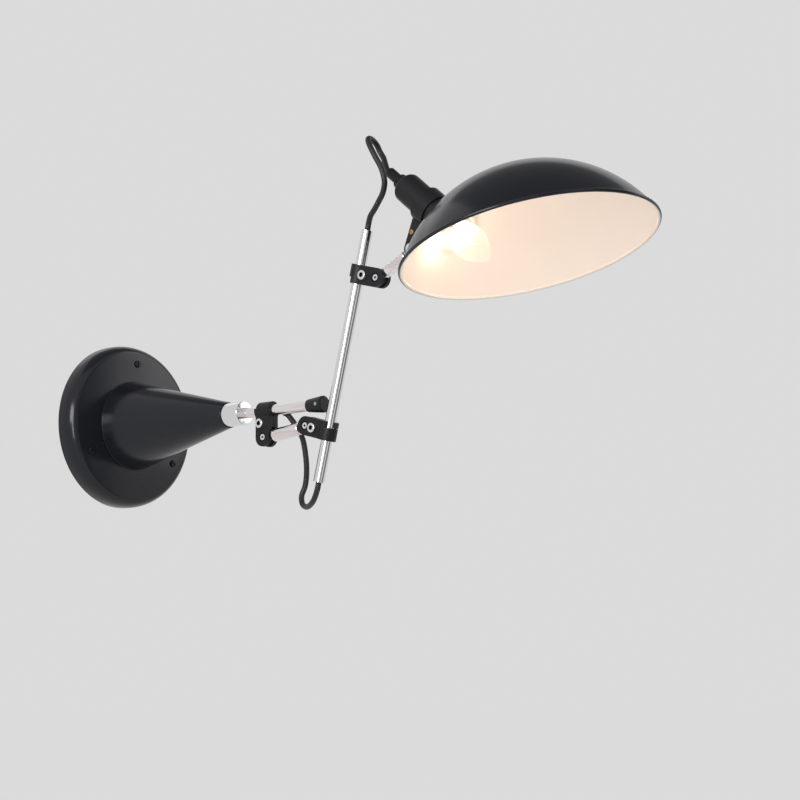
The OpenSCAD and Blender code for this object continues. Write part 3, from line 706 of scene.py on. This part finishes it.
kept = {
    "enamel": ["flange", "cone"],
    "shade": ["shade"],
    "cast": ["arm_clamp_front", "arm_clamp_rear", "rod_clamp_front", "rod_clamp_rear",
             "head_clamp_front", "head_clamp_rear", "head_bracket", "flange_screws"],
    "moulded": ["arm_end_cap", "holder_cap", "gland_ring", "gland_nose", "rod_bushes",
                "cord_in_base", "cord_in_arm", "cord_in_rod", "cord_in_holder"],
    "holder": ["holder_shell"],
    "chrome": ["collar", "rod_tube", "strut_pivot_screw", "rod_pivot_screw",
               "head_arm_pivot_screw", "arm_clamp_screw", "rod_clamp_screw",
               "head_clamp_screw", "head_pivot_screw"],
    "chromeWithPaintedStreaks": ["arm_tube", "strut_tube", "strut_eyes", "head_arm_tube", "head_arm_eyes"],
    "zinc": ["wall_plate", "cone_lock_ring", "collar_nut", "collar_set_screw", "arm_end_screw",
             "arm_clamp_nut", "rod_clamp_nut", "head_clamp_nut", "head_pivot_nut"],
    "porcelain": ["terminal_block", "socket_insert", "shade_ring"],
    "brass": ["bracket_screw", "socket_contacts"],
    "capPaintedLight": ["bulb_cap"],
    "glass": ["bulb_glass"],
    "filament": ["bulb_filament"],
}
rounded = {  # width of the rounded edges, in millimetres
    "arm_clamp_front": 0.6, "arm_clamp_rear": 0.6, "rod_clamp_front": 0.6, "rod_clamp_rear": 0.6,
    "head_clamp_front": 0.6, "head_clamp_rear": 0.6, "head_bracket": 0.6,
    "arm_end_cap": 0.4, "holder_shell": 0.5, "cone": 0.3, "gland_ring": 0.2,
    "rod_tube": 0.25, "strut_eyes": 0.3, "head_arm_eyes": 0.3,
    "arm_clamp_nut": 0.3, "rod_clamp_nut": 0.3, "head_clamp_nut": 0.3, "head_pivot_nut": 0.3,
    "terminal_block": 0.6, "wall_plate": 0.3,
}
sockets = {  # screws whose hexagonal socket gets painted shade: its reach from the axis and its depth, in millimetres
    "arm_clamp_screw": (2.9, 3.0), "rod_clamp_screw": (2.9, 3.0), "head_clamp_screw": (2.9, 3.0),
    "strut_pivot_screw": (1.6, 1.2), "rod_pivot_screw": (1.6, 1.2),
    "head_arm_pivot_screw": (1.6, 1.2), "head_pivot_screw": (1.8, 1.1),
}
socketRoom = {"face": 0.05, "depth": 0.1, "reach": 0.05}  # millimetres of play round a socket's faces
lightPasses = ["bulb_glass", "shade_ring", "socket_insert"]  # these keep no bulb light from the dish
sharpFrom = math.radians(32.0)  # from this angle between its faces an edge stays sharp
weldReach = 0.00001


def makeSmoothing():
    # joins the loose triangles and shades them smooth up to the sharp edges
    tree = bpy.data.node_groups.new("smoothShading", "GeometryNodeTree")
    tree.interface.new_socket("Geometry", in_out="INPUT", socket_type="NodeSocketGeometry")
    angleIn = tree.interface.new_socket("Sharp From", in_out="INPUT", socket_type="NodeSocketFloat")
    angleIn.default_value = sharpFrom
    tree.interface.new_socket("Geometry", in_out="OUTPUT", socket_type="NodeSocketGeometry")
    entry = tree.nodes.new("NodeGroupInput")
    leave = tree.nodes.new("NodeGroupOutput")
    merge = tree.nodes.new("GeometryNodeMergeByDistance")
    merge.inputs["Distance"].default_value = weldReach
    smooth = tree.nodes.new("GeometryNodeSetShadeSmooth")
    edges = tree.nodes.new("GeometryNodeSetShadeSmooth")
    edges.domain = "EDGE"
    edges.inputs["Shade Smooth"].default_value = False
    angle = tree.nodes.new("GeometryNodeInputMeshEdgeAngle")
    sharp = tree.nodes.new("FunctionNodeCompare")
    sharp.operation = "GREATER_THAN"
    tree.links.new(entry.outputs["Geometry"], merge.inputs["Geometry"])
    tree.links.new(merge.outputs["Geometry"], smooth.inputs["Geometry"])
    tree.links.new(smooth.outputs["Geometry"], edges.inputs["Geometry"])
    tree.links.new(angle.outputs["Unsigned Angle"], sharp.inputs["A"])
    tree.links.new(entry.outputs["Sharp From"], sharp.inputs["B"])
    tree.links.new(sharp.outputs["Result"], edges.inputs["Selection"])
    tree.links.new(edges.outputs["Geometry"], leave.inputs["Geometry"])
    return tree


smoothShading = makeSmoothing()


def paintSocketShade(piece, reach, depth):
    # the faces inside a screw's socket, found from its axis along x, get the dark finish, painted shade
    # for the recess
    low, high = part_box(piece.name)
    axisOut, axisUp = (low[1] + high[1]) / 2, (low[2] + high[2]) / 2
    nearest = low[0] + socketRoom["face"] / 1000
    deepest = low[0] + (depth + socketRoom["depth"]) / 1000
    widest = (reach + socketRoom["reach"]) / 1000
    piece.data.materials.append(finishes["socket"])
    for face in piece.data.polygons:
        x, y, z = face.center
        if nearest < x < deepest and math.hypot(y - axisOut, z - axisUp) < widest:
            face.material_index = 1


def dressPiece(piece, finish):
    name = piece.name
    piece.data.materials.clear()
    piece.data.materials.append(finishes[finish])
    piece.visible_shadow = name not in lightPasses
    if name in sockets:
        paintSocketShade(piece, *sockets[name])
    weld = piece.modifiers.new("weld", "WELD")
    weld.merge_threshold = weldReach
    if name in rounded:
        bevel = piece.modifiers.new("edges", "BEVEL")
        bevel.width = rounded[name] / 1000
        bevel.segments = 2
        bevel.limit_method = "ANGLE"
        bevel.angle_limit = sharpFrom
    smooth = piece.modifiers.new("smooth", "NODES")
    smooth.node_group = smoothShading
    if name in rounded:
        normals = piece.modifiers.new("flat faces", "WEIGHTED_NORMAL")
        normals.keep_sharp = True


for finish, names in kept.items():
    for name in names:
        dressPiece(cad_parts[name], finish)
print("kept pieces dressed")


# Room and light

room = {
    "middle": (0.0, -0.32, 0.05),  # lamps and cards are placed round this point and face it
    "paper": (0.708, 0.708, 0.708),  # what the camera sees behind the lamp
    "floorGlow": (0.742, 0.742, 0.742),  # meets the backdrop without a line
    "floorShare": 0.9,  # of that glow in what the camera sees of the floor
    "floorDrop": 0.75,
    "floorHalf": 12.0,
    "ambient": 0.55,
}
# Lamps light everything but the gloss, which sees only the cards
lamps = [  # bearing, rise, distance, width, height, power
    ("leftStrip", 196, 4, 2.2, 0.34, 1.3, 16.0),
    ("keySoft", 205, 40, 2.6, 1.4, 1.0, 12.0),
    ("farFill", 310, 25, 2.2, 1.2, 1.2, 6.0),
]
cards = [  # bearing, rise, distance, width, height, level
    ("cardNear", 243, 0, 1.6, 0.49, 2.4, 0.10),
    ("cardFar", 293.7, 0, 1.6, 1.15, 2.4, 0.20),
    ("cardStrip", 196, 2, 2.2, 0.40, 1.4, 8.0),
    ("cardLeft", 181.5, 12.8, 2.2, 0.74, 0.79, 9.0),
    ("cardRight", 323.9, 19.4, 2.6, 0.745, 1.45, 2.3),
    ("cardBack", 72, 38, 2.6, 1.00, 0.5, 1.0),
    ("cardTop", 30, 78, 2.2, 2.6, 2.6, 0.20),
]


def aimed(thing, bearing, rise, distance):
    b, r = math.radians(bearing), math.radians(rise)
    outward = Vector((math.cos(b) * math.cos(r), math.sin(b) * math.cos(r), math.sin(r)))
    bpy.context.scene.collection.objects.link(thing)
    thing.location = Vector(room["middle"]) + distance * outward
    thing.rotation_euler = (-outward).to_track_quat("-Z", "Y").to_euler()


def makeLamp(name, bearing, rise, distance, width, height, power):
    data = bpy.data.lights.new(name, "AREA")
    data.shape = "RECTANGLE"
    data.size, data.size_y = width, height
    data.energy = power
    lamp = bpy.data.objects.new(name, data)
    lamp.visible_glossy = False
    aimed(lamp, bearing, rise, distance)


def flatMesh(name, halfWidth, halfHeight, z):
    mesh = bpy.data.meshes.new(name)
    w, h = halfWidth, halfHeight
    corners = [(-w, -h, z), (w, -h, z), (w, h, z), (-w, h, z)]
    mesh.from_pydata(corners, [], [(0, 1, 2, 3)])
    return mesh


def makeCard(name, bearing, rise, distance, width, height, level):
    mesh = flatMesh(name, width / 2, height / 2, 0)
    card = bpy.data.objects.new(name, mesh)
    finish = Finish(name)
    glow = finish.node("ShaderNodeEmission", {}, {"Color": rgb(level, level, level)})
    mesh.materials.append(finish.done(glow))
    for ray in ("camera", "diffuse", "transmission", "volume_scatter", "shadow"):
        setattr(card, "visible_" + ray, False)
    aimed(card, bearing, rise, distance)


def makeWorld():
    # the paper's grey to the camera, the glass and the gloss, and soft white light to the rest
    world = bpy.data.worlds.new("studio")
    bpy.context.scene.world = world
    world.use_nodes = True
    tree = world.node_tree
    tree.nodes.clear()
    path = tree.nodes.new("ShaderNodeLightPath")
    seen = path.outputs["Is Camera Ray"]
    for ray in ("Is Transmission Ray", "Is Glossy Ray"):
        either = tree.nodes.new("ShaderNodeMath")
        either.operation = "MAXIMUM"
        tree.links.new(seen, either.inputs[0])
        tree.links.new(path.outputs[ray], either.inputs[1])
        seen = either.outputs[0]
    mixed = tree.nodes.new("ShaderNodeMixShader")
    tree.links.new(seen, mixed.inputs[0])
    for i, (colour, strength) in enumerate((((1, 1, 1), room["ambient"]), (room["paper"], 1.0))):
        backdrop = tree.nodes.new("ShaderNodeBackground")
        backdrop.inputs["Color"].default_value = rgb(*colour)
        backdrop.inputs["Strength"].default_value = strength
        tree.links.new(backdrop.outputs[0], mixed.inputs[i + 1])
    out = tree.nodes.new("ShaderNodeOutputWorld")
    tree.links.new(mixed.outputs[0], out.inputs["Surface"])


bulbLights = {  # place, power and size: the bulb's own light, and the light that the white dish spreads
    "bulbLight": ((0.0, -0.4995, 0.1560), 0.17, 0.014),
    "neckLight": ((-0.020, -0.4880, 0.1420), 0.035, 0.006),
    "dishLight": ((0.0, -0.5800, 0.0900), 0.19, 0.030),
}
bulbLightColour = (1.0, 0.70, 0.50)


def makeBulbLights():
    for name, (place, power, size) in bulbLights.items():
        glow = bpy.data.lights.new(name, "POINT")
        glow.energy = power
        glow.color = bulbLightColour
        glow.shadow_soft_size = size
        light = bpy.data.objects.new(name, glow)
        light.visible_glossy = False
        bpy.context.scene.collection.objects.link(light)
        light.location = place
        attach(light, "head")


def makeFloor():
    # takes shadows, looks as pale as the backdrop, and is clear from below
    mesh = flatMesh("studioFloor", room["floorHalf"], room["floorHalf"], -room["floorDrop"])
    floor = bpy.data.objects.new("studioFloor", mesh)
    bpy.context.scene.collection.objects.link(floor)
    finish = Finish("floorPaper")
    path = finish.node("ShaderNodeLightPath", out="Is Camera Ray")
    gloss = finish.node("ShaderNodeLightPath", out="Is Glossy Ray")
    seen = path.math("MAXIMUM", path, gloss)
    under = finish.node("ShaderNodeNewGeometry", out="Backfacing")
    matt = finish.node("ShaderNodeBsdfDiffuse", {}, {"Color": rgb(*room["paper"])})
    flat = finish.node("ShaderNodeEmission", {}, {"Color": rgb(*room["floorGlow"])})
    clear = finish.node("ShaderNodeBsdfTransparent", {}, {"Color": rgb(1, 1, 1)})
    top = finish.node("ShaderNodeMixShader", {}, {0: seen * room["floorShare"], 1: matt, 2: flat})
    both = finish.node("ShaderNodeMixShader", {}, {0: under, 1: top, 2: clear})
    mesh.materials.append(finish.done(both))


def makeRoom():
    makeWorld()
    for lamp in lamps:
        makeLamp(*lamp)
    for card in cards:
        makeCard(*card)
    makeBulbLights()
    makeFloor()


makeRoom()
print("room and lights made")
